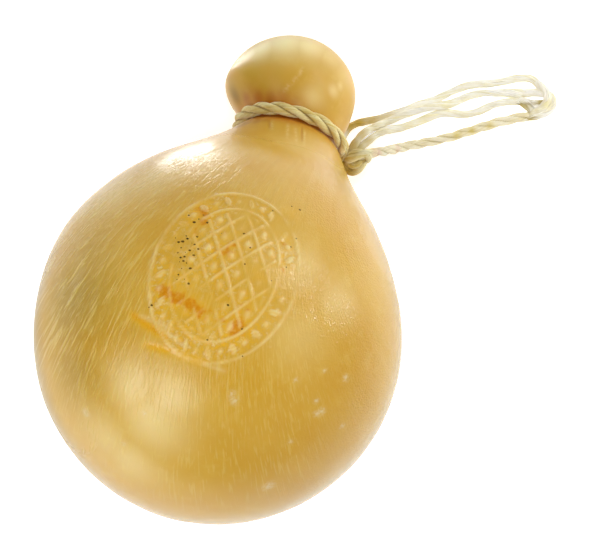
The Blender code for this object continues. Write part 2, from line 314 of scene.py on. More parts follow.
def laidCordTree(make, material):
    line = startTree("laidCord")
    tree, seed = line.tree, make["seed"]
    place = put(tree, "GeometryNodeInputPosition")
    even = put(tree, "GeometryNodeResampleCurve", {"Curve": line, "Length": make["spacing"]}, mode="LENGTH")
    along = put(tree, "GeometryNodeSplineParameter")["Length"]
    rest = put(tree, "GeometryNodeSplineLength") - along
    path = storeMark(even, "nearEnd", along.calc("MINIMUM", rest))
    strands, index = wind(path, make["strands"], make["strandOffset"], make["strandLay"])
    strandLine = storeMark(strands, "strandIndex", index)

    # a strand is thicker in some places than in others, and thin at its ends
    lumps = cloudy(place + scaled(tree, (0.31, 0.17, 0.23), seed), 75, 1)
    swell = (lumps - 0.5) * (make["swell"] * 2) + 1
    swell = swell * ramp(storedMark(tree, "nearEnd"), 0, make["taper"], 0.4, 1)
    strandLine = storeMark(strandLine, "swell", swell)
    swell = storedMark(tree, "swell")

    yarns, index = wind(strandLine, make["yarns"], swell * make["yarnOffset"], make["yarnLay"])
    number = storedMark(tree, "strandIndex") * 32 + index
    yarnLine = storeMark(yarns, "yarnTone", draw(tree, 0, 1, seed, number))
    stray = cloudy(place + scaled(tree, (1, 2, 3), number), 190, 1)["Color"] - (0.5, 0.5, 0.5)
    yarnLine = put(tree, "GeometryNodeSetPosition", {"Geometry": yarnLine, "Offset": stray * make["wobble"]})
    thick = draw(tree, 0.84, 1.16, seed, number) * make["yarnRadius"] * swell

    both = put(tree, "GeometryNodeJoinGeometry")
    for tube in (tubes(strandLine, 10, make["coreRadius"], swell), tubes(yarnLine, 6, 1, thick)):
        tree.links.new(tube.socket, both.socket.node.inputs[0])
    return closeTree(both, material)


def cordPiece(name, routes, make, look):
    return growMesh(curveObject(name, routes), laidCordTree(make, fibres[look]), name)


def writeMark(piece, name, values):
    mark = piece.data.attributes.new(name, "FLOAT", "POINT")
    mark.data.foreach_set("value", np.asarray(values, dtype=np.float32))


def vertexPlaces(piece):
    places = np.empty(len(piece.data.vertices) * 3)
    piece.data.vertices.foreach_get("co", places)
    return places.reshape(-1, 3)


# fibre material for all cords

def startMaterial(name):
    material = bpy.data.materials.new(name)
    material.use_nodes = True
    tree = material.node_tree
    return material, tree, put(tree, "ShaderNodeTexCoord")["Object"]


def shade(tree, feeds):
    feed(tree, tree.nodes["Principled BSDF"], feeds)


def mark(tree, name, output="Fac"):
    return put(tree, "ShaderNodeAttribute", None, output, attribute_name=name)


def blend(share, first, second):
    return put(share.tree, "ShaderNodeMix", {0: share, 6: first, 7: second}, 2, data_type="RGBA")


def bump(height, strength, distance):
    return put(height.tree, "ShaderNodeBump", {"Strength": strength, "Distance": distance, "Height": height})


fibreLooks = {
    "cordFibre": {"light": (1, 0.86, 0.42, 1), "dark": (0.8, 0.57, 0.15, 1), "gap": (0.36, 0.18, 0.01, 1)},
    "knotFibre": {"light": (1, 0.92, 0.54, 1), "dark": (0.68, 0.5, 0.11, 1), "gap": (0.32, 0.2, 0.02, 1)},
    "ropeFibre": {"light": (0.93, 0.86, 0.62, 1), "dark": (0.76, 0.64, 0.36, 1), "gap": (0.54, 0.43, 0.15, 1)},
    "plyFibre": {"light": (0.98, 0.96, 0.82, 1), "dark": (0.86, 0.79, 0.5, 1), "gap": (0.56, 0.46, 0.18, 1)},
    "endFibre": {"light": (0.98, 0.95, 0.82, 1), "dark": (0.84, 0.76, 0.47, 1), "gap": (0.5, 0.39, 0.13, 1)},
}
cordStains = {
    "yellowStain": (0.66, 0.5, 0.03, 1),
    "pinkStain": (0.78, 0.5, 0.34, 1),
    "oliveShade": (0.5, 0.34, 0.04, 1),
}


def fibreMaterial(name):
    look = fibreLooks[name]
    material, tree, place = startMaterial(name)
    fine = cloudy(place, 2600, 2, 0.6)
    share = mark(tree, "yarnTone") * 0.45 + cloudy(place, 160, 3, 0.6) * 0.75 + fine * 0.25
    colour = blend(ramp(share, 0.45, 1.15), look["light"], look["dark"])
    for label, stain in {"gapShade": look["gap"], **cordStains}.items():
        colour = blend(mark(tree, label), colour, stain)
    shade(tree, {"Base Color": colour, "Roughness": fine * 0.25 + 0.62, "Normal": bump(fine, 0.35, 0.00012),
                 "Sheen Weight": 0.25, "Sheen Roughness": 0.5, "Subsurface Weight": 0.5,
                 "Subsurface Radius": (1, 0.9, 0.6), "Subsurface Scale": 0.0015})
    return material


fibres = {name: fibreMaterial(name) for name in fibreLooks}


# hanging loop: the laid rope and the three loose plies

# in millimetres; the first points of each run inside the neck knot
loopRoutes = inMetres({
    "rope": [
        (32.8, 84.2, 28.5), (34.6, 86.1, 29.5), (36.6, 87.8, 29.1), (40.7, 90.1, 24.7), (44.7, 92.7, 18),
        (49, 95.7, 10.6), (53.7, 98.7, 5.2), (58.8, 101.5, 2.8), (65, 104.8, 2.2), (71.5, 108.6, 2.2),
        (77.5, 112.6, 2.2), (83.5, 116.5, 2.2), (89.2, 119.9, 2.2), (93.9, 122.3, 2.2), (99.4, 125.2, 2.2)],
    "a": [
        (30.6, 84.2, 22.6), (28.4, 85.3, 19.6), (26.4, 88.4, 16), (25, 91.9, 12.2), (25, 95.3, 8.6),
        (26.3, 98.7, 5.6), (28.7, 101.4, 3.7), (31.8, 103.3, 2.6), (35, 105.1, 2), (38.3, 106.9, 1.8),
        (42.5, 109.5, 1.65), (46.5, 112.2, 1.65), (51.4, 115.9, 1.65), (58, 120.5, 1.65), (63.8, 125.5, 1.65),
        (69.2, 129.7, 1.65), (73.9, 132.2, 1.65), (78.9, 133.7, 1.65), (84.4, 136.2, 1.65), (89.7, 139, 1.65),
        (94.7, 140.4, 1.65), (98.5, 139.6, 1.75), (100.7, 137.7, 2)],
    "b": [
        (29.6, 84.9, 29.5), (29.9, 87.4, 31.5), (30.5, 89.9, 31.8), (31.5, 92.8, 30.5), (33.6, 97, 25.4),
        (36.2, 100.2, 18.6), (39, 103.2, 12.4), (42.4, 106.3, 8.6), (46.4, 109.7, 6.4), (51.1, 113, 5.4),
        (55.6, 115.8, 5.1), (59.9, 117.9, 4.6), (64.1, 119.9, 3.2), (68.1, 123, 1.9), (72.3, 126.4, 1.55),
        (77.4, 129.1, 1.55), (83.1, 130.8, 1.55), (88.5, 132.2, 1.55), (93.2, 133.4, 1.55), (96.9, 134.1, 1.6)],
    "c": [
        (30.9, 84.9, 29.5), (32, 87, 30.6), (33.2, 89, 29.6), (34.2, 91.1, 28.2), (37.4, 96.2, 22.2),
        (40, 99.5, 16.2), (43, 102.1, 10.3), (46.9, 104.5, 5.6), (51, 107.3, 2.6), (54.7, 110.2, 1.7),
        (58.3, 113.1, 1.55), (62.9, 116, 1.55), (67.8, 117.2, 1.55), (72.4, 118.2, 1.55), (75.6, 119.6, 1.55),
        (78.6, 121.7, 1.55), (81.4, 124.2, 1.55), (84.8, 126.5, 1.55), (88.7, 128.3, 1.55), (92.8, 129.7, 1.55),
        (96.9, 130.6, 1.6)],
})

# a laid cord has three strands, a loose one is a single bundle of fibres
laidMake = {"spacing": 0.0008, "strands": 3, "taper": 0.001, "wobble": 0.0003}
looseMake = {"spacing": 0.0006, "strands": 1, "strandOffset": 0, "strandLay": 0.05, "yarns": 14}
ropeMake = {
    **laidMake, "strandOffset": 0.00104, "strandLay": 0.024, "yarns": 9, "yarnOffset": 0.0008,
    "yarnLay": -0.013, "yarnRadius": 0.00033, "coreRadius": 0.0007, "swell": 0.22, "seed": 5,
}
plyMake = {
    **looseMake, "spacing": 0.001, "yarnOffset": 0.00132, "yarnLay": 0.042, "yarnRadius": 0.00036,
    "coreRadius": 0.00118, "swell": 0.3, "taper": 0.004, "wobble": 0.0006, "seed": 9,
}

loopLines = {key: smoothRoute(route) for key, route in loopRoutes.items()}
ropeLine, ropeLength = loopLines["rope"]
loopRope = cordPiece("laidRope", [ropeLine], ropeMake, "ropeFibre")
plies = {key: cordPiece("loosePly_" + key, [loopLines[key][0]], {**plyMake, "seed": plyMake["seed"] + ord(key)},
                        "plyFibre") for key in "abc"}
print("loop: rope and plies", [round(length * 1000) for line, length in loopLines.values()], "mm")


# the loop's far end: the plies turn round and twist up into the rope

endTurnMake = {
    **looseMake, "yarnOffset": 0.00136, "yarnLay": 0.024, "yarnRadius": 0.00037, "coreRadius": 0.0012,
    "swell": 0.22, "taper": 0.01, "wobble": 0.0007, "seed": 31,
}
# the three plies' turns, and two more that fill the bend
endRoutes = inMetres({
    "a": [
        (102.8, 136.7, 3.2), (104.1, 134.5, 4.2), (104.1, 131.6, 4.2), (102.7, 128.8, 3.8), (100.2, 126.2, 3.2),
        (97.2, 123.5, 2.6), (94.1, 121.4, 2.2)],
    "b": [
        (100.8, 135.7, 2.2), (104.7, 135.8, 2.3), (107, 134, 2.3), (107.3, 131.2, 2.3), (105.7, 128.3, 2.3),
        (102.8, 125.9, 2.2), (99.4, 123.9, 2.2), (95.5, 122.7, 2.2)],
    "c": [
        (95, 130.2, 1.7), (98.8, 130.3, 1.9), (101.6, 129.6, 2), (102.4, 127.6, 2), (100.2, 125.6, 2.2),
        (97.3, 124.2, 2.6), (94.2, 122.6, 2.4)],
    "upper": [
        (92.8, 129.7, 1.8), (97.6, 130.1, 2.2), (101.7, 131.6, 2.8), (104.6, 133.2, 3.2)],
    "lower": [
        (92.5, 129.3, 1.9), (96.9, 128.1, 2.2), (99.6, 126.9, 2.6), (97.8, 124.8, 2.8), (94.5, 122.8, 2.6)],
})


def endTurnLines():
    # each turn starts inside the last few millimetres of its ply
    for key, route in endRoutes.items():
        inside = loopLines[key][0][-13:-3:2] if key in plies else []
        yield smoothRoute([*inside, *route], endTurnMake["spacing"])[0]


endLines = list(endTurnLines())
loopEnd = cordPiece("loopEndKnot", endLines, endTurnMake, "endFibre")
print("loop: far end turned")


# neck cord and its knot

neckCordMake = {
    **laidMake, "strandOffset": 0.00134, "strandLay": 0.027, "yarns": 11, "yarnOffset": 0.00106,
    "yarnLay": -0.016, "yarnRadius": 0.00038, "coreRadius": 0.00094, "swell": 0.1, "seed": 3,
}
saddleMake = {
    **laidMake, "strandOffset": 0.00124, "strandLay": 0.027, "yarns": 9, "yarnOffset": 0.0008,
    "yarnLay": -0.015, "yarnRadius": 0.00032, "coreRadius": 0.00068, "swell": 0.08, "seed": 18,
}
knotMake = {
    **looseMake, "yarnOffset": 0.0014, "yarnLay": 0.03, "yarnRadius": 0.00038, "coreRadius": 0.00124,
    "swell": 0.2, "taper": 0.004, "wobble": 0.0006, "seed": 17,
}
# degrees round the neck, through the top
neckCordReach = range(84, -238, -3)
saddleReach = range(78, 132, 3)
knotRoutes = inMetres({
    "lowerLobe": [
        (27.5, 86.4, 28.5), (27.5, 83.6, 28), (28.7, 81, 27.2), (31, 79.4, 26.6), (33.6, 79.6, 26.8),
        (35.3, 81.8, 27.6), (36.2, 84.5, 28.4), (37.4, 87.1, 28.2)],
    "lobeInner": [
        (29.4, 86.4, 29.8), (29.6, 83.8, 29.6), (30.9, 81.9, 29.2), (32.9, 81.9, 29.2), (34.3, 84.2, 29.6),
        (35.3, 86.8, 29)],
    "lobeCore": [
        (30.7, 86.5, 28), (31.6, 84.4, 27.6), (33.3, 84, 27.6), (34.3, 86, 28)],
    "collar": [
        (29.3, 83.1, 29.5), (30.3, 85.4, 31.6), (32.4, 86.9, 33), (34.8, 87.4, 32.5), (37, 87, 30),
        (37, 85.5, 27), (34.6, 84.4, 25.5)],
    "overTurn": [
        (27.9, 82.6, 29), (29.7, 83.2, 31.6), (31.6, 84.5, 33.2), (33.7, 86.1, 33.5), (35.8, 87.8, 31.8),
        (38.4, 89.1, 28.4), (41.2, 90.4, 24.6)],
})

ringLine = smoothRoute([ringPoint(angle) for angle in neckCordReach], neckCordMake["spacing"])[0]
saddleLine = smoothRoute([ringPoint(angle) for angle in saddleReach], knotMake["spacing"])[0]
knotLines = [smoothRoute(route, knotMake["spacing"])[0] for route in knotRoutes.values()]
neckCord = cordPiece("neckCord", [ringLine], neckCordMake, "cordFibre")
neckKnot = cordPiece("neckKnot", knotLines, knotMake, "knotFibre")
knotSaddle = cordPiece("knotSaddle", [saddleLine], saddleMake, "knotFibre")
print("neck: cord and knot tied")


# marks on the cords, placed where the photo shows them

cordMarks = {
    # name, piece: pixel, size in millimetres, strength; a spot's middle lies 1.2 mm above the cord's line
    "yellowStain": {
        "laidRope": [(457, 135, 1.6, 0.75), (473, 132, 1.6, 0.85), (491, 126, 1.5, 0.7)],
        "loopEndKnot": [(545, 104, 2.2, 0.35), (536, 111, 1, 0.4), (525, 117, 2.5, 0.22)],
        "loosePly_c": [(425, 123, 3, 0.25), (408, 128, 2.5, 0.25)],
        "loosePly_b": [(400, 119, 3, 0.22), (447, 108, 3, 0.18)],
    },
    "pinkStain": {
        "laidRope": [(376, 152, 2.4, 1), (396, 148, 2, 0.8)],
        "neckKnot": [(374, 152, 2.2, 0.7)],
    },
    "oliveShade": {
        "neckKnot": [
            (350, 168, 4, 0.95), (358, 164, 2.8, 0.65), (346, 158, 2.2, 0.7), (353, 149, 2.6, 0.55)],
        "knotSaddle": [(344, 154, 4, 0.35)],
        "loosePly_a": [(345, 122, 6, 1), (356, 122, 6, 1), (370, 122, 5.5, 0.75), (384, 118, 5, 0.35)],
        "loosePly_b": [
            (355, 146, 5, 0.85), (362, 137, 5.5, 0.75), (374, 130, 6, 0.5), (388, 124, 6, 0.22)],
        "loosePly_c": [
            (359, 150, 4.5, 0.85), (368, 143, 5.5, 0.65), (382, 136, 6, 0.42), (398, 130, 6, 0.18)],
    },
}
# distances from a cord's line between which the dark of its grooves dies out
gapReach = {"neckCord": (0.00145, 0.00215), "laidRope": (0.001, 0.0016), "knotSaddle": (0.0011, 0.0018),
            "neckKnot": (0.001, 0.0016)}


def markCord(piece, lines):
    places = vertexPlaces(piece)
    allPoints = np.concatenate(lines)
    tree = kdtree.KDTree(len(allPoints))
    for index, point in enumerate(allPoints):
        tree.insert(point, index)
    tree.balance()
    away = np.array([tree.find(place)[2] for place in places])
    writeMark(piece, "gapShade", 1 - smoothStep(away, *gapReach.get(piece.name, (0.0009, 0.0015))))
    seen = seenAt(allPoints)
    for name, pieces in cordMarks.items():
        amount = np.zeros(len(places))
        for x, y, size, strength in pieces.get(piece.name, []):
            middle = allPoints[np.argmin(np.linalg.norm(seen - (x, y), axis=1))] + (0, 0, 0.0012)
            amount = np.maximum(amount, strength * bell(np.linalg.norm(places - middle, axis=1), size / 1000))
        writeMark(piece, name, amount)


for key, ply in plies.items():
    markCord(ply, [loopLines[key][0]])
for piece, lines in ((loopRope, [ropeLine]), (loopEnd, endLines), (neckCord, [ringLine]),
                     (neckKnot, knotLines), (knotSaddle, [saddleLine])):
    markCord(piece, lines)


# the cheese: a turned form, leaned, laid down and given its relief

cheeseGrid = {
    "sides": 300,
    "rows": 328,
    "sideCrowding": 0.74,     # share by which columns draw together under the stamp
    "rowCrowding": 0.5,
    "crowdedRow": 0.47,       # share of the profile's length where the stamp is
}
profileFacts = {"points": 900, "edgeSoftness": 0.0009}     # rounding of the groove's edges, in metres


def oval(first, last, count, middle, radius, before, after):
    # part of an oval, in degrees from the axis; it is less deep before its middle than after it, or more
    angles = np.radians(np.linspace(first, last, count))
    depth = np.where(np.cos(angles) < 0, before, after)
    return np.stack((middle[0] + depth * np.cos(angles), middle[1] + radius * np.sin(angles)), axis=1)


def profileLine():
    # station and radius from the base's pole to the crown
    form = cheeseForm
    radius, turn, slope = form["bellyRadius"], radians(form["shoulderAngle"]), radians(form["neckSlope"])
    belly = oval(180, form["shoulderAngle"], 90, (0, 0), radius, form["baseDepth"], radius)
    start = Vector((radius * cos(turn), radius * sin(turn), 0))
    end = Vector((form["neckStation"], form["neckRadius"], 0))
    startHandle = start + Vector((sin(turn), -cos(turn), 0)) * form["shoulderBellyHandle"]
    endHandle = end - Vector((cos(slope), -sin(slope), 0)) * form["shoulderNeckHandle"]
    shoulder = np.array(interpolate_bezier(start, startHandle, endHandle, end, 60))[1:, :2]

    hollow = neckCordForm["radius"] + form["grooveGap"]
    groove = oval(form["grooveStart"], form["grooveEnd"], 20,
                  (neckCordForm["station"], neckCordForm["ringRadius"]), hollow, hollow, hollow)
    head = oval(90 - form["headJoinAngle"], 0, 60, (form["headStation"], 0), form["headRadius"],
                form["headUnderDepth"], form["headTopDepth"])
    line, length = evenly(np.concatenate((belly, shoulder, groove, head)), count=profileFacts["points"])

    # the groove's edges are rounded by averaging along the line, which runs on mirrored past its ends
    reach = 12
    width = profileFacts["edgeSoftness"] / (length / (profileFacts["points"] - 1))
    kernel = np.exp(-(np.arange(-reach, reach + 1) / width) ** 2 / 2)
    kernel /= kernel.sum()
    mirrored = np.concatenate((line[reach:0:-1] * (1, -1), line, line[-2:-2 - reach:-1] * (1, -1)))
    soft = np.stack([np.convolve(column, kernel, "valid") for column in mirrored.T], axis=1)
    soft[0, 1] = soft[-1, 1] = 0
    return soft, length


def turnedTree(material):
    facts = cheeseGrid
    line = startTree("turnedCheese")
    tree = line.tree
    grid = put(tree, "GeometryNodeMeshGrid", {"Vertices X": facts["sides"] + 1, "Vertices Y": facts["rows"] + 1})
    place = put(tree, "ShaderNodeSeparateXYZ", {0: put(tree, "GeometryNodeInputPosition")})
    across = place[0] + 0.5
    wave = (across * tau).calc("SINE") * facts["sideCrowding"] / tau
    angle = (across + wave - 0.5) * tau

    along = place[1] + 0.5
    wave = ((along - facts["crowdedRow"]) * tau).calc("SINE") + sin(facts["crowdedRow"] * tau)
    factor = along - wave * facts["rowCrowding"] / tau

    point = put(tree, "GeometryNodeSampleCurve", {"Curves": line, "Factor": factor}, "Position", mode="FACTOR")
    shape = put(tree, "ShaderNodeSeparateXYZ", {0: point})
    spot = put(tree, "ShaderNodeCombineXYZ", {
        0: shape[0] * angle.calc("SINE"), 1: shape[0] * angle.calc("COSINE") * -1, 2: shape[2]})
    moved = put(tree, "GeometryNodeSetPosition", {"Geometry": grid, "Position": spot})
    closed = put(tree, "GeometryNodeMergeByDistance", {"Geometry": moved, "Distance": 0.000002})
    return closeTree(closed, material)


rindLook = {
    "golden": (0.66, 0.405, 0.056, 1),
    "amber": (0.61, 0.34, 0.026, 1),
    "pale": (0.74, 0.52, 0.12, 1),
    "streak": (0.82, 0.64, 0.2, 1),
    "stroke": (0.86, 0.7, 0.34, 1),
    "stain": (0.64, 0.25, 0.003, 1),
    "stainHalo": (0.8, 0.45, 0.014, 1),
    "bloom": (0.8, 0.7, 0.44, 1),
    "cordShade": (0.6, 0.19, 0.01, 1),
    "oliveGold": (0.55, 0.33, 0.008, 1),
    # painted light: the rind paler where it is lit and at its highlights
    "paintedLight": (0.98, 0.85, 0.44, 1),
    # painted shade: dark brown above and below the cord, where the head overhangs it
    "grooveShade": (0.4, 0.14, 0.008, 1),
    # painted shade: darker olive brown on the belly's sides and underside, and beside the head's lower left
    "paintedShade": (0.3, 0.2, 0.02, 1),
    "warmth": (0.6, 0.32, 0.016, 1),
    "crease": (0.88, 0.72, 0.36, 1),
    # painted shade in the neck's creases
    "creaseShade": (0.42, 0.14, 0.008, 1),
}
rindGrain = {
    # noise: scale, detail, roughness
    "clouds": (22, 3),
    "mottle": (170, 4, 0.6, 0.4),
    "crumbs": (620, 3, 0.65),
    "grain": (900, 3, 0.6),
    "peel": (1250, 1),
    # along the fibres: scale, share of it along them, detail
    "wide": (1650, 0.085, 1),
    "narrow": (2700, 0.08, 1),
    "fine": (2400, 0.16, 2),
    "broken": (240, 0.25, 2),
    # gloss and relief
    "roughness": 0.25,
    "bumpStrength": 0.42,
    "bumpDistance": 0.00022,
}


def rindMaterial():
    look, grains = rindLook, rindGrain
    material, tree, place = startMaterial("goldenRind")
    clouds, mottle, crumbs, grain, peel = (
        cloudy(place, *grains[name]) for name in ("clouds", "mottle", "crumbs", "grain", "peel"))
    curdPlace = mark(tree, "curd", "Vector")
    wide, narrow, fine, broken = (
        cloudy(curdPlace.calc("MULTIPLY", (1, 1, stretch)), scale, detail, 0.45)
        for scale, stretch, detail in (grains[name] for name in ("wide", "narrow", "fine", "broken")))

    colour = blend(ramp(clouds, 0.35, 0.7), look["golden"], look["amber"])
    colour = blend(ramp(mottle, 0.5, 0.78) * 0.35, colour, look["pale"])
    # tints, among them painted light and painted shade
    for name in ("warmth", "oliveGold", "paintedLight", "grooveShade", "paintedShade"):
        colour = blend(mark(tree, name), colour, look[name])

    # short thin streaks along the curd's fibres, in two sizes
    fibrous = mark(tree, "fibrous")
    wide, narrow = ramp(wide, 0.53, 0.66), ramp(narrow, 0.5, 0.68)
    dashes = ramp(fine, 0.53, 0.68) * mark(tree, "dashed")
    wideLines = wide * ramp(broken, 0.34, 0.56)
    narrowLines = narrow * ramp(broken, 0.66, 0.44)
    lines = wideLines.calc("MAXIMUM", narrowLines * 0.45) * fibrous
    lines = lines.calc("MAXIMUM", dashes * 0.6)
    colour = blend(lines * 0.44, colour, look["streak"])

    # the stamped skin is crumbly: pale crumbs with ochre between
    crumbly = mark(tree, "crumbly")
    colour = blend(ramp(crumbs, 0.52, 0.4, 0, 0.65) * crumbly, colour, look["stainHalo"])
    colour = blend(ramp(crumbs, 0.52, 0.66, 0, 0.6) * crumbly, colour, look["stroke"])
    grainy = ramp(grain, 0.38, 0.58, 0.25, 1)
    # the neck creases' dark brown is painted shade
    for name, share in {"stainHalo": 0.8, "stain": ramp(grain, 0.3, 0.6, 0.55, 1), "stroke": 0.72,
                        "bloom": grainy * 0.65, "crease": grainy * 0.9, "creaseShade": 1, "cordShade": 1}.items():
        colour = blend(mark(tree, name) * share, colour, look[name])

    # waxy gloss, sharper on the streaks; the right side has a fine peel instead of streaks
    peeled = mark(tree, "peeled")
    rough = fine * fibrous * 0.1 + grains["roughness"] - lines * 0.12 - peeled * 0.06
    rough = rough + mark(tree, "stroke") * 0.1 + mark(tree, "dull") * 0.2
    glitter = mark(tree, "glitter") * (ramp(fine, 0.45, 0.66) + peel)
    height = (wide * 0.9 + narrow * 0.3 + fine * 0.2) * fibrous + dashes * 0.45 + glitter * 1.3
    height = height + crumbs * crumbly * 3.2 + peel * peeled * 1.6 + grain * 0.05
    shade(tree, {"Base Color": colour, "Roughness": rough, "IOR": 1.42,
                 "Normal": bump(height, grains["bumpStrength"], grains["bumpDistance"]),
                 "Subsurface Weight": 0.3, "Subsurface Radius": (1, 0.62, 0.22), "Subsurface Scale": 0.006})
    return material


profile, profileLength = profileLine()
cheese = growMesh(curveObject("cheeseProfile", [[(radius, 0, station) for station, radius in profile]]),
                  turnedTree(rindMaterial()), "cheeseBody")

localPlaces = vertexPlaces(cheese)
station = localPlaces[:, 2].copy()
neckRound = np.arctan2(localPlaces[:, 0], -localPlaces[:, 1])
neckRound = np.stack((np.sin(neckRound), np.cos(neckRound), station / cheeseForm["neckRadius"]), axis=1)
neckRound *= cheeseForm["neckRadius"]
localPlaces[:, 0] += axisLean(station)
turn = np.array(axisFrame)
rindPlaces = localPlaces @ turn[:3, :3].T + turn[:3, 3]
cheese.data.vertices.foreach_set("co", rindPlaces.ravel())
cheese.data.update()
print("cheese: turned,", len(cheese.data.polygons), "faces, profile", round(profileLength * 1000), "mm")


def blotches(points, size, seed):
    # Perlin noise, about -1 to 1, with blotches of the given size
    shift = Vector((seed * 7.31, seed * 3.17, seed * 5.71))
    return np.array([noise.noise(Vector(point) + shift) for point in points / np.asarray(size)])


# the curd's fibres fan out from the neck, turning a little, and close under the belly

fibreFacts = {
    "fanFrom": (0.0318, 0.0929),        # on the upper side they fan out from here
    "root": (0, 0.0929, 0.05),      # lower down they wind round a line from the neck
    "exit": (0, 0.02, 0),      # to this place under the belly
    "twist": -0.475,
    "fanHeights": (0.03, 0.085),
    "fanDepth": 0.022,
}


def fibreFrame():
    facts = fibreFacts
    radius = cheeseForm["bellyRadius"]
    root = np.array(facts["root"])
    axis = np.array(facts["exit"]) - root
    axis /= np.linalg.norm(axis)
    side = np.cross((0, 0, 1), axis)
    side /= np.linalg.norm(side)
    away = rindPlaces - root
    wound = np.arctan2(away @ side, away @ np.cross(axis, side))
    flat = rindPlaces[:, :2] - np.array(facts["fanFrom"])
    fan = np.arctan2(flat[:, 0], -flat[:, 1])
    share = smoothStep(rindPlaces[:, 2], *facts["fanHeights"]) * smoothStep(-flat[:, 1], 0, facts["fanDepth"])
    reach = np.linalg.norm(flat, axis=1) + 0.002
    angle = wound + (fan - wound) * share + facts["twist"] * np.log(reach / radius)
    return np.stack((radius * np.sin(angle), radius * np.cos(angle), np.linalg.norm(away, axis=1)), axis=1)


curd = fibreFrame()
normals = np.empty(len(rindPlaces) * 3)
cheese.data.vertices.foreach_get("normal", normals)
normals = normals.reshape(-1, 3)
if (normals * (rindPlaces - rindPlaces.mean(axis=0))).sum() < 0:
    cheese.data.flip_normals()
    normals = -normals
rindSeen = seenAt(rindPlaces)
facing = ((eye["place"] - rindPlaces) * normals).sum(axis=1) > 0.05 * cameraFacts["distance"]


def rindIndex(pixel):
    # the rind's vertex that the camera sees at a pixel
    return np.argmin(np.where(facing, np.linalg.norm(rindSeen - np.array(pixel), axis=1), 1e6))


def nearSpot(pixel, size):
    return bell(np.linalg.norm(rindPlaces - rindPlaces[rindIndex(pixel)], axis=1), size)


def nearSpots(spots, grow=1):
    return np.maximum.reduce([strength * nearSpot((x, y), grow * size / 1000) for x, y, size, strength in spots])


def nearLines(lines, size):
    # 1 on the stretches between two pixels, falling off to their sides
    amount = np.zeros(len(rindPlaces))
    for start, end in lines:
        first, last = rindPlaces[rindIndex(start)], rindPlaces[rindIndex(end)]
        run = last - first
        share = np.clip((rindPlaces - first) @ run / (run @ run), 0, 1)
        away = np.linalg.norm(rindPlaces - (first + share[:, None] * run), axis=1)
        ends = 0.35 + 0.65 * np.sqrt(np.sin(pi * np.clip(share, 0.02, 0.98)))
        amount = np.maximum(amount, bell(away, size) * ends)
    return amount


def steps(route):
    return zip(route, route[1:])


stampFacts = {
    "middle": (225, 270),     # pixel
    "slant": 20,            # degrees that its lines fall to the right
    "halfWidth": 0.027,
    "halfHeight": 0.035,
    "lineWidth": 0.0011,
    "rimDepth": 0.0078,       # from the outer line to the inner one
    "rimMarks": 34,
    "cell": 0.0088,
    "relief": 0.00085,
    "sink": 0.00022,
}


def stampPlaces():
    # across and up on the rind from the stamp's middle, in metres
    middle = rindIndex(stampFacts["middle"])
    slant = radians(stampFacts["slant"])
    across = eye["right"] * cos(slant) - eye["up"] * sin(slant)
    across = across - normals[middle] * (across @ normals[middle])
    across /= np.linalg.norm(across)
    away = rindPlaces - rindPlaces[middle]
    a, b = away @ across, away @ np.cross(normals[middle], across)
    flat = np.sqrt(a * a + b * b) + 1e-9
    radius = cheeseForm["bellyRadius"]
    stretch = np.arcsin(np.clip(flat / radius, 0, 0.99)) / (flat / radius)
    return a * stretch, b * stretch


def ridge(away, width):
    return bell(away, 0.5 * width)


def stampStrokes(a, b):
    facts = stampFacts
    width = facts["lineWidth"]
    oval = np.sqrt((a / facts["halfWidth"]) ** 2 + (b / facts["halfHeight"]) ** 2) + 1e-9
    steep = np.sqrt((a / facts["halfWidth"] ** 2) ** 2 + (b / facts["halfHeight"] ** 2) ** 2) / oval + 1e-9
    inward = (1 - oval) / steep
    strokes = ridge(inward, width) * 0.8
    strokes = np.maximum(strokes, ridge(inward - facts["rimDepth"], width) * 0.8)

    turn = np.arctan2(b / facts["halfHeight"], a / facts["halfWidth"]) / (tau) * facts["rimMarks"]
    number = np.floor(turn)
    around = (turn - number - 0.5) * tau / facts["rimMarks"] * 0.43 * (facts["halfWidth"] + facts["halfHeight"])
    depth = inward - 0.5 * facts["rimDepth"]
    leafHalf = 0.0024
    leafWide = 0.0011 * np.clip(1 - (depth / leafHalf) ** 2, 0, 1)
    leaves = smoothStep(leafWide - np.abs(around + 0.35 * depth), -0.0003, 0.0003)
    leaves *= 1 - 0.55 * ridge(around + 0.35 * depth, 0.0006)      # a vein along the leaf
    pips = ridge(np.hypot(around, depth), 1.7 * width)
    strokes = np.maximum(strokes, np.where(number % 2 == 0, leaves, pips))

    inside = smoothStep(inward, facts["rimDepth"] + 0.0012, facts["rimDepth"] + 0.0022)
    cell = facts["cell"]
    p = a / cell + b / (1.45 * cell)
    q = a / cell - b / (1.45 * cell)
    scale = cell * 0.82
    lattice = np.maximum(ridge((p - np.round(p)) * scale, width), ridge((q - np.round(q)) * scale, width))
    pip = np.hypot((p - np.floor(p) - 0.5), (q - np.floor(q) - 0.5)) * scale
    lattice = np.maximum(lattice * 0.75, ridge(pip, 2.2 * width))
    return np.maximum(strokes, lattice * inside), smoothStep(inward, -0.002, 0.003)
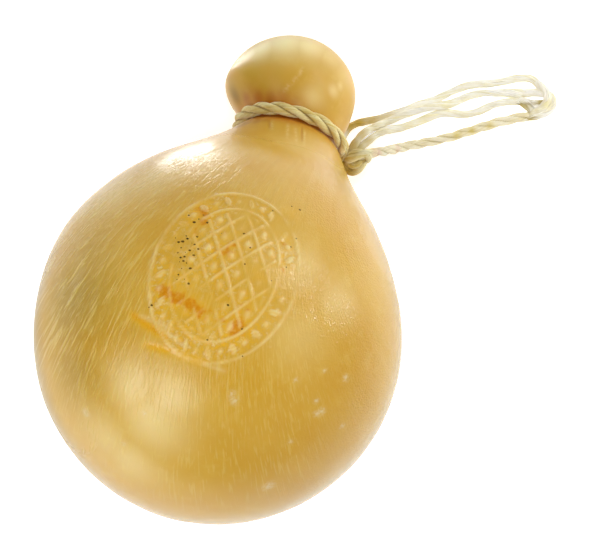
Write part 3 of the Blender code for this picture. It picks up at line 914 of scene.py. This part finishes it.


# marks and tints of the rind, painted light and painted shade among the tints, placed where the photo shows them

rindMarks = {
    # pixel, size in millimetres, strength; lines and scuffs run from pixel to pixel
    "bloom": [
        (86, 412, 1.6, 1), (234, 401, 1.6, 1), (270, 485, 2.2, 1), (322, 412, 1.4, 1),
        (316, 401, 0.9, 1), (342, 425, 1, 1), (123, 445, 0.9, 1), (144, 412, 0.8, 1),
        (290, 442, 0.8, 1), (347, 378, 1.3, 1), (296, 380, 0.8, 1), (325, 371, 0.8, 1),
        (317, 414, 1.2, 1), (232, 395, 1.2, 1)],
    "stainSpots": [
        (205, 212, 2.1, 0.95), (203, 221, 1.7, 0.7), (158, 288, 1.2, 0.6), (236, 328, 2.2, 0.95),
        (241, 333, 1.2, 0.6), (222, 321, 1.3, 0.55), (226, 250, 1.9, 0.7), (232, 244, 1.4, 0.45),
        (246, 306, 1.7, 0.55), (285, 244, 1.5, 0.4), (283, 268, 1.4, 0.4), (196, 232, 1.4, 0.45)],
    "stainBand": [(160, 289), (172, 296), (184, 301), (195, 308), (205, 314)],
    "ochre": [
        (240, 300, 4, 0.5), (287, 240, 3.5, 0.6), (282, 262, 4, 0.55), (228, 240, 5, 0.5),
        (196, 216, 6, 0.6), (180, 296, 6, 0.55), (225, 325, 6, 0.5), (160, 310, 5, 0.4),
        (250, 312, 4, 0.4), (293, 213, 3.5, 0.35), (262, 275, 4, 0.35)],
    "amberScuff": [((132, 314), (166, 338))],
    "paleScuffs": [((158, 327), (186, 348)), ((172, 351), (224, 370)), ((140, 316), (172, 330))],
    "fadedScuff": [((146, 344), (178, 354)), ((172, 352), (206, 362))],
    "neckCreases": [((269, 120), (269, 128)), ((302, 127), (302, 141))],
    "paleNeckCreases": [
        ((296, 128), (297, 145)), ((305, 131), (304, 146)), ((272, 121), (272, 129)), ((288, 124), (287, 138))],
    "headFold": [(303, 68), (299, 76), (291, 83), (283, 93)],
    "sideDent": (72, 276),
    "glitter": [
        (124, 369, 5, 1), (150, 368, 6, 0.9), (172, 372, 5, 0.8), (150, 392, 7, 0.7),
        (186, 160, 7, 0.7), (298, 276, 8, 0.9), (342, 312, 6, 0.9), (120, 440, 6, 0.5)],
    "rightTrough": [(322, 236), (321, 262), (318, 290), (314, 316)],
}
rindTints = {
    # pixel, size in millimetres, strength
    "oliveGold": [
        (234, 88, 5, 0.9), (250, 72, 7, 1), (240, 86, 5.5, 0.85), (262, 84, 6, 0.6),
        (276, 78, 6, 0.35), (245, 84, 5, 0.8)],
    # painted light: paler rind on the head's lit top, the shoulder and round the highlights
    "paintedLight": [
        (262, 48, 8, 1), (285, 42, 9.5, 1), (308, 46, 8, 0.85), (255, 50, 6, 1), (326, 56, 7, 0.4),
        (343, 75, 7, 0.2), (334, 90, 3, 0.35), (341, 86, 2.2, 0.4), (196, 158, 12, 0.25),
        (300, 148, 9, 0.2), (105, 435, 13, 0.35), (130, 385, 11, 0.45), (155, 425, 13, 0.5),
        (170, 400, 10, 0.45), (130, 460, 11, 0.4), (300, 265, 11, 0.3), (338, 300, 10, 0.3),
        (312, 98, 5.5, 0.45), (298, 108, 4, 0.4), (118, 192, 12, 0.35), (152, 178, 12, 0.35),
        (300, 335, 12, 0.22)],
    "warmth": [
        (320, 440, 20, 0.55), (250, 470, 18, 0.35), (370, 400, 15, 0.45), (330, 210, 12, 0.5),
        (345, 240, 12, 0.35), (250, 165, 8, 0.6), (230, 440, 12, 0.25), (392, 330, 12, 0.4),
        (210, 508, 14, 0.55), (322, 168, 9, 0.75), (338, 186, 8, 0.75), (232, 165, 6, 0.6),
        (240, 498, 18, 0.55), (300, 486, 16, 0.6), (348, 446, 12, 0.6)],
    # painted shade in the groove above the cord and on the neck just below it
    "grooveShade": [
        (246, 97, 3.2, 0.75), (258, 98, 3.4, 0.95), (270, 99, 3.4, 0.85), (282, 99, 3.4, 0.5),
        (296, 101, 3.4, 0.25), (252, 92, 4, 0.35), (238, 126, 2.6, 0.8), (246, 123, 2.4, 0.7),
        (256, 121, 2.4, 0.55), (266, 120, 2, 0.35), (238, 99, 3, 0.55)],
    # painted shade on the left flank and beside the head's lower left
    "paintedShade": [
        (76, 300, 20, 0.6), (84, 258, 13, 0.35), (74, 368, 15, 0.45), (236, 96, 4.5, 0.75),
        (239, 124, 4, 0.6)],
    "dull": [
        (300, 70, 30, 1), (246, 53, 12, 1.3), (45, 330, 20, 0.8), (60, 400, 20, 0.6),
        (239, 102, 7, 1.6)],
}


reliefFacts = {
    # height in metres, size of its blotches
    "swells": (0.0003, 0.04),
    "dimples": (0.00012, 0.016),
    "coarseFibres": (0.0001, (0.0045, 0.0045, 0.045)),
    "fineFibres": (0.00005, (0.0018, 0.0018, 0.018)),
    "pleats": (0.00016, (0.0026, 0.0026, 0.02)),
    # depth and half width of single marks
    "crease": (0.00025, 0.00045),
    "fold": (0.00015, 0.0009),
    "trough": (0.0003, 0.0028),
    "scuff": (0.0003, 0.0009),
    "dent": (0.00045, 0.0035),
}


def raised(name, places, seed):
    height, size = reliefFacts[name]
    return height * blotches(places, size, seed)


def lowSide():
    # painted shade: the belly darkens towards its sides and stays a little darker underneath
    away = eye["place"] - rindPlaces
    towards = (away * normals).sum(axis=1) / np.linalg.norm(away, axis=1)
    share = np.maximum(smoothStep(down, 215, 285), smoothStep(across, 300, 345))
    share *= 0.5 + 0.38 * smoothStep(-across, -150, -50) + 0.12 * smoothStep(across, 330, 400)
    share *= smoothStep(-towards, -0.42, 0.06) * (1 - 0.45 * smoothStep(-towards, 0.1, 0.6))
    return share * smoothStep(-station, -0.088, -0.06)


across, down = rindSeen.T
fromCord = station - neckCordForm["station"]
openRind = smoothStep(np.abs(fromCord), 0, 0.006)     # relief dies out under the cord
onBody = smoothStep(-station, -0.08, -0.062)
strokes, stamped = stampStrokes(*stampPlaces())
wear = blotches(rindPlaces, 0.011, 1) + 0.5 * blotches(rindPlaces, 0.004, 2)
strokes *= facing * np.clip(0.62 + 0.9 * wear, 0.08, 1)
stamped = stamped * facing

lines = rindMarks
pleats = bell(station - 0.0862, 0.0075) * smoothStep(0.0895 - station, 0, 0.002)
lift = raised("swells", rindPlaces, 3) + raised("dimples", rindPlaces, 4)
lift += (raised("coarseFibres", curd, 5) + raised("fineFibres", curd, 6)) * onBody
lift += raised("pleats", neckRound, 7) * pleats
lift += stampFacts["relief"] * strokes - stampFacts["sink"] * stamped
sunken = {"dent": nearSpot(lines["sideDent"], reliefFacts["dent"][1])}
for name, runs in {"crease": lines["neckCreases"], "fold": steps(lines["headFold"]),
                   "trough": steps(lines["rightTrough"]),
                   "scuff": lines["amberScuff"] + lines["paleScuffs"] + lines["fadedScuff"]}.items():
    sunken[name] = nearLines(runs, reliefFacts[name][1])
lift -= sum(reliefFacts[name][0] * amount for name, amount in sunken.items())
paleCrease = nearLines(lines["paleNeckCreases"], 0.0006)
rindPlaces = rindPlaces + normals * (lift * np.maximum(openRind, 0.05))[:, None]
rindPlaces[:, 2] = np.maximum(rindPlaces[:, 2], 0)
cheese.data.vertices.foreach_set("co", rindPlaces.ravel())
height = rindPlaces[:, 2]

# ragged stains, and the ochre round them, along the band and at the foot of each raised stroke
ragged = blotches(rindPlaces, 0.0018, 8) + 0.5 * blotches(rindPlaces, 0.0008, 9)
band = list(steps(lines["stainBand"]))
stain = np.maximum(nearSpots(lines["stainSpots"], 1.4), nearLines(band, 0.0027))
foot = bell(strokes - 0.35, 0.25) * stamped * (0.35 + 0.35 * smoothStep(-across, -240, -190))
halo = np.maximum.reduce([nearSpots(lines["stainSpots"], 2.8), nearLines(band, 0.005),
                          nearSpots(lines["ochre"]), foot])
stain = np.clip(1.2 * smoothStep(stain + 0.45 * ragged, 0.25, 0.85), 0, 1) * smoothStep(stain, 0.02, 0.15)
halo = np.clip(halo * (0.8 + 0.5 * ragged), 0, 1)
stain = np.maximum(stain, 0.6 * nearLines(lines["amberScuff"], 0.0008))
halo = np.maximum.reduce([halo, 1.3 * nearLines(lines["amberScuff"], 0.0016),
                          1.1 * nearLines(lines["fadedScuff"], 0.0015)])

# the rind is darker beside the cord, most on the neck's left side
headShade = bell(station - 0.0963, 0.003) * (fromCord > 0) * (1 - 0.8 * smoothStep(across, 285, 315))
neckShade = bell(station - 0.0893, 0.0032) * (fromCord <= 0) * (1 - 0.65 * smoothStep(across, 285, 320))
inGroove = smoothStep(0.004 - np.abs(fromCord), 0, 0.001)
cordShade = np.maximum.reduce([0.45 * headShade, 0.85 * neckShade, inGroove])

# streaks on the upper left, short dashes on top, a peel to the right
fibrous = smoothStep(station, -0.066, -0.03) * onBody * (0.1 + 0.9 * smoothStep(-across, -310, -215))
fibrous *= (0.12 + 0.88 * smoothStep(height, 0.078, 0.112)) * (1 - 0.5 * stamped)
dashed = smoothStep(height, 0.095, 0.12) * smoothStep(-station, -0.084, -0.07)
dashed *= (1 - 0.75 * smoothStep(across, 290, 340)) * (1 - 0.7 * stamped)
crumbly = np.clip(0.3 + 0.9 * wear + 0.5 * smoothStep(-across, -250, -190), 0, 1)
peeled = (0.15 + 0.85 * smoothStep(across, 270, 325)) * smoothStep(height, 0.06, 0.095)

for name, amount in {
        "stroke": np.maximum(strokes, 0.7 * nearLines(lines["paleScuffs"], 0.0008)), "stain": stain,
        # the neck creases get painted shade
        "stainHalo": halo, "bloom": nearSpots(lines["bloom"]), "creaseShade": 0.5 * sunken["crease"],
        "crease": 0.35 * sunken["fold"] + 0.45 * paleCrease,
        "cordShade": np.clip(cordShade, 0, 0.9), "fibrous": fibrous, "dashed": dashed,
        "crumbly": stamped * crumbly, "glitter": nearSpots(lines["glitter"]), "peeled": peeled * openRind,
        **{name: nearSpots(spots) for name, spots in rindTints.items()}}.items():
    # the painted shade also darkens the belly towards its sides and underneath
    if name == "paintedShade":
        amount = np.maximum(amount, lowSide())
    writeMark(cheese, name, amount)
curdMark = cheese.data.attributes.new("curd", "FLOAT_VECTOR", "POINT")
curdMark.data.foreach_set("vector", curd.astype(np.float32).ravel())
cheese.data.update()
print("cheese: relief and marks laid on")


# black mould specks: tiny flat lumps set on the rind

speckFacts = {
    "spots": [(189, 215), (203.5, 215), (179, 242), (183, 241), (188, 239), (197, 236), (195, 245),
              (186, 253), (193.5, 255), (181, 258), (184, 261), (179, 274), (184, 279), (228, 306),
              (242, 330), (242, 356), (208, 339), (300.5, 210), (272.7, 210.6), (244, 233), (295.5, 239),
              (291, 247), (250, 248), (245, 264), (287, 267), (272, 281), (150, 308), (282, 491),
              (176, 238), (186, 236), (192, 243), (181, 247), (190, 250), (178, 253), (199, 249), (187, 263),
              (191, 268), (182, 268), (177, 279), (188, 283), (207, 222), (199, 219), (194, 222), (209, 214),
              (185, 256), (180, 262), (222, 233), (232, 240), (152, 306), (243, 327), (292, 206)],
    "smallest": 0.00014, "largest": 0.00046, "flatness": 0.35, "seed": 11,
    "dark": (0.045, 0.024, 0.004, 1),
    "light": (0.2, 0.11, 0.012, 1),
}


def speckTree():
    facts = speckFacts
    places = startTree("mouldSpecks")
    tree = places.tree
    out = put(tree, "GeometryNodeInputNamedAttribute", {"Name": "outward"}, data_type="FLOAT_VECTOR")
    size = draw(tree, facts["smallest"], facts["largest"], facts["seed"])
    scale = put(tree, "ShaderNodeCombineXYZ", {
        0: size * draw(tree, 0.8, 1.5, facts["seed"]), 1: size, 2: size * facts["flatness"]})
    many = put(tree, "GeometryNodeInstanceOnPoints", {
        "Points": put(tree, "GeometryNodeMeshToPoints", {"Mesh": places}), "Scale": scale,
        "Rotation": put(tree, "FunctionNodeAlignRotationToVector", {"Vector": out}, axis="Z"),
        "Instance": put(tree, "GeometryNodeMeshIcoSphere", {"Radius": 1, "Subdivisions": 2})})
    return closeTree(many, mouldMaterial())


def mouldMaterial():
    material, tree, place = startMaterial("mouldSpeck")
    tone = cloudy(place, 700, 2, 0.6)
    shade(tree, {"Base Color": blend(ramp(tone, 0.35, 0.65), speckFacts["dark"], speckFacts["light"]),
                 "Roughness": tone * 0.2 + 0.75, "Specular IOR Level": 0.05})
    return material


def speckPiece():
    where = [int(rindIndex(spot)) for spot in speckFacts["spots"]]
    mesh = bpy.data.meshes.new("speckPlaces")
    mesh.from_pydata([tuple(rindPlaces[index]) for index in where], [], [])
    outward = mesh.attributes.new("outward", "FLOAT_VECTOR", "POINT")
    outward.data.foreach_set("vector", normals[where].astype(np.float32).ravel())
    return growMesh(addObject("speckPlaces", mesh), speckTree(), "mouldSpecks")


specks = speckPiece()
print("rind:", len(speckFacts["spots"]), "specks set")


# every piece rides on the one body and stands for its solid

for piece, slot, node in (
        (cheese, "golden_rind", "cheese"), (specks, "golden_rind", None),
        (neckCord, "neck_cord_fibre", "neck_cord"), (neckKnot, "neck_knot_fibre", "neck_knot"),
        (knotSaddle, "neck_knot_fibre", None), (loopRope, "loop_rope_fibre", "loop_rope"),
        (plies["a"], "loop_ply_fibre", "loop_ply_a"), (plies["b"], "loop_ply_fibre", "loop_ply_b"),
        (plies["c"], "loop_ply_fibre", "loop_ply_c"), (loopEnd, "loop_end_fibre", "loop_end_knot")):
    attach(piece, "root")
    if node:
        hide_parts(node)

tuple(ropeLine[0])
[tuple(place) for place in ropeLine[::3]]
for key, diameter in (("a", 0.0032), ("b", 0.003), ("c", 0.003)):
    line, length = loopLines[key]
    plies[key]
    tuple(line[0])
    [tuple(place) for place in line[::3]]


# floor and studio light

stageFacts = {
    "floorSize": 6,
    "floorDrop": 0.0002,
    "floorColours": ((0.92, 0.92, 0.91, 1), (0.9, 0.9, 0.89, 1)),
    "floorGlow": 0.62,
    # the sky is a low band of light, stronger on some sides: the side, and how strong
    "skyBand": 0.9,
    "skyTop": (0.45, 0.85),                  # the band fades out between these heights
    "skySides": {"right": ((1, 0, 0), 0.54), "back": ((0, 1, 0), 0.42)},
    "skyRest": 0.06,
    "skyColour": (1, 0.98, 0.94, 1),
    # direction from the cheese, distance, size, watts, colour, whether it shows in the gloss
    "aim": (0, 0.03, 0.08),
    "lamps": {
        "lowRight": ((0.87, 0.44, 0.2), 0.7, 0.045, 0.6, (1, 0.97, 0.92), True),
        "backRight": ((0.55, 0.69, 0.46), 0.7, 0.06, 1, (1, 0.97, 0.92), True),
        "frontLeft": ((-0.38, -0.55, 0.74), 0.8, 0.46, 2.2, (1, 0.98, 0.94), True),
        "frontLeftLow": ((-0.45, -0.72, 0.45), 0.8, 0.3, 0.6, (1, 0.98, 0.94), True),
        "glint": ((-0.5, -0.41, 0.64), 0.8, 0.11, 0.22, (1, 0.98, 0.94), True),
        "topSoft": ((0, 0, 1), 0.9, 0.4, 3.1, (1, 0.98, 0.94), False),
    },
    # bright cards on the floor behind the left shoulder and the head, seen only in the rind's gloss:
    # middle, length, width, turn in degrees, watts
    "floorCards": {
        "shoulderCard": ((-0.077, 0.138, 0.003), 0.07, 0.034, 148, 0.066),
        "headCard": ((-0.06, 0.17, 0.003), 0.024, 0.018, 0, 0.007),
    },
    "loopLight": {"place": (0.092, 0.13, 0.6), "radius": 0.068, "watts": 6, "blend": 0.7, "size": 0.02},
}


def addLamp(name, kind, place, **settings):
    data = bpy.data.lights.new(name, kind)
    for key, value in settings.items():
        setattr(data, key, value)
    lamp = addObject(name, data)
    lamp.location = place
    lamp.visible_camera = kind != "AREA"
    return lamp


def buildFloor():
    half, drop = stageFacts["floorSize"] / 2, stageFacts["floorDrop"]
    mesh = bpy.data.meshes.new("studioFloor")
    corners = [(-half, -half), (half, -half), (half, half), (-half, half)]
    mesh.from_pydata([(x, y, -drop) for x, y in corners], [], [(0, 1, 2, 3)])
    material, tree, place = startMaterial("paleFloor")
    shade(tree, {"Base Color": blend(cloudy(place, 30, 3), *stageFacts["floorColours"]), "Roughness": 0.75,
                 "Emission Color": (1, 1, 1, 1), "Emission Strength": stageFacts["floorGlow"]})
    mesh.materials.append(material)
    floor = addObject("studioFloor", mesh)


def buildSky():
    facts = stageFacts
    world = bpy.data.worlds.new("studioWorld")
    world.use_nodes = True
    sky = world.node_tree
    toward = put(sky, "ShaderNodeTexCoord")["Generated"]
    height = put(sky, "ShaderNodeSeparateXYZ", {"Vector": toward})["Z"]
    light = put(sky, "ShaderNodeValue")
    light.socket.default_value = facts["skyRest"]
    for side, strength in facts["skySides"].values():
        lean = toward.calc("DOT_PRODUCT", side)["Value"]
        light = light + ramp(lean, 0, 0.8) * (facts["skyBand"] * strength)
    light = light * ramp(height, facts["skyTop"][1], facts["skyTop"][0])
    feed(sky, sky.nodes["Background"], {"Strength": light, "Color": facts["skyColour"]})
    scene.world = world


def buildLamps():
    facts = stageFacts
    for name, (direction, distance, size, watts, colour, inGloss) in facts["lamps"].items():
        away = Vector(direction).normalized()
        lamp = addLamp(name, "AREA", Vector(facts["aim"]) + away * distance,
                       shape="DISK", size=size, energy=watts, color=colour)
        lamp.rotation_euler = away.to_track_quat("Z", "Y").to_euler()
        lamp.visible_glossy = inGloss
    for name, (middle, long, wide, turned, watts) in facts["floorCards"].items():
        lamp = addLamp(name, "AREA", middle, shape="ELLIPSE", size=long, size_y=wide, energy=watts)
        lamp.rotation_euler = (pi, 0, radians(turned))
        lamp.visible_diffuse = False
    spot = facts["loopLight"]
    addLamp("loopLight", "SPOT", spot["place"], energy=spot["watts"], spot_blend=spot["blend"],
            shadow_soft_size=spot["size"], spot_size=2 * atan(spot["radius"] / spot["place"][2]))


buildFloor()
buildSky()
buildLamps()
print("stage: floor and lamps set")
